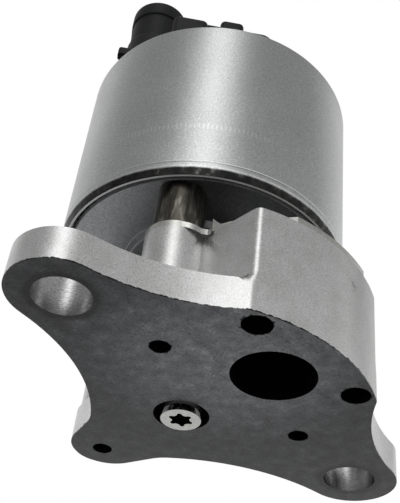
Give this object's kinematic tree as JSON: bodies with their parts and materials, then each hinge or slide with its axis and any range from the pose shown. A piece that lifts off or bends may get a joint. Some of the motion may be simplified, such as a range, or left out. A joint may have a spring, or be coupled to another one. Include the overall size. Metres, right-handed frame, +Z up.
{
  "type": "egr valve",
  "caption": "Exhaust gas recirculation valve with a lobed base flange, spaced solenoid can and a cap with an oval connector shroud.",
  "frame": {"origin": "on the base flange's mounting face, at the pintle axis", "axes": "+Z up the pintle axis to the connector, X along the two mounting holes, the outlet port towards -Y"},
  "size_m": [0.091, 0.0636, 0.1003],
  "materials": {
    "cast_iron": "shot blasted casting",
    "seat_steel": "machined",
    "bronze": "sintered",
    "shield_steel": "stamped",
    "dark_steel": "polished dark",
    "spring_steel": "drawn wire",
    "polished_steel": "ground and polished",
    "screw_steel": "plated",
    "plated_steel": "satin",
    "zinc_plate": "satin zinc plate",
    "bobbin_plastic": "moulded",
    "copper": "enamelled wire",
    "black_plastic": "moulded",
    "seal_rubber": "moulded",
    "board": "laminate",
    "pale_plastic": "moulded",
    "contact_metal": "tinned"
  },
  "bodies": {
    "valve_body": {"base_casting": "cast_iron", "valve_seat": "seat_steel", "shaft_bushing": "bronze", "gas_shield_plate": "shield_steel", "shaft_seal": "dark_steel", "seal_spring": "spring_steel", "spacer_left": "dark_steel", "spacer_right": "dark_steel", "spacer_rear": "dark_steel", "base_screw_left": "screw_steel", "base_screw_right": "screw_steel", "base_screw_rear": "screw_steel", "lower_pole_plate": "plated_steel", "solenoid_can": "zinc_plate", "armature_sleeve": "shield_steel", "upper_pole": "plated_steel", "return_spring": "spring_steel", "upper_flux_washer": "plated_steel", "coil_bobbin": "bobbin_plastic", "coil_winding": "copper", "sensor_cap": "black_plastic", "cap_seal_ring": "seal_rubber", "sensor_base": "bobbin_plastic", "sensor_board": "board", "plunger_spring": "spring_steel", "terminal_1": "contact_metal", "terminal_2": "contact_metal", "terminal_3": "contact_metal", "terminal_4": "contact_metal", "terminal_5": "contact_metal", "coil_tab_left": "contact_metal", "coil_tab_right": "contact_metal"},
    "pintle_group": {"pintle": "polished_steel", "pintle_shaft": "polished_steel", "armature": "plated_steel", "sensor_plunger": "pale_plastic", "wiper_contact": "contact_metal"}
  },
  "joints": [
    {"name": "pintle_lift", "type": "slide", "parent": "valve_body", "child": "pintle_group", "axis": [0, 0, 1], "range_m": [0, 0.004], "stiffness_N_per_m": 2500, "springref_m": -0.004, "deforming": ["return_spring", "plunger_spring"]}
  ]
}
